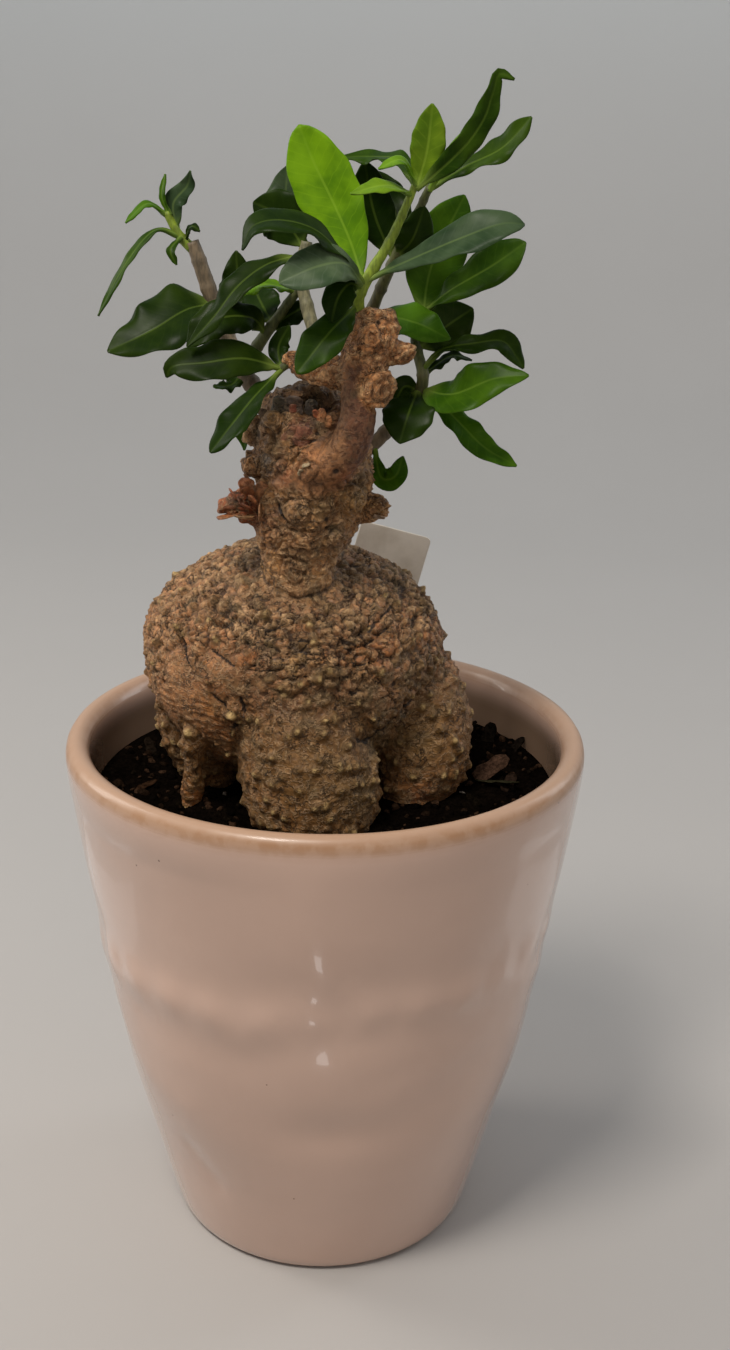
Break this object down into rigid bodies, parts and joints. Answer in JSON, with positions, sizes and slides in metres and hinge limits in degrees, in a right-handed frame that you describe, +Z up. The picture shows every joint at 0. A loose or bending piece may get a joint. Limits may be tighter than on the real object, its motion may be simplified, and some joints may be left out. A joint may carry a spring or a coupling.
{
  "type": "potted fockea",
  "caption": "Caudex houseplant with a warty swollen base, a stout cut neck and arm, leafy sprigs and a blank tag, in soil in a dented glazed ceramic pot.",
  "frame": {"origin": "middle of the flat underside of the pot", "axes": "+Z up the plant, -Y towards the front of the picture, +X to its right"},
  "size_m": [0.1584, 0.1583, 0.3552],
  "materials": {
    "glaze": "glossy cream glaze with fine brown specks",
    "soil": "matte dark potting mix",
    "bark": "rough warty bark",
    "foliage": "satin leathery leaves",
    "label": "matte pale plastic"
  },
  "bodies": {
    "root": {"pot": "glaze", "soil": "soil", "caudex": "bark", "sprig_left": "foliage", "sprig_centre": "foliage", "sprig_front": "foliage", "sprig_back": "foliage", "sprig_right": "foliage", "sprig_low": "foliage", "plant_label": "label"}
  },
  "joints": []
}
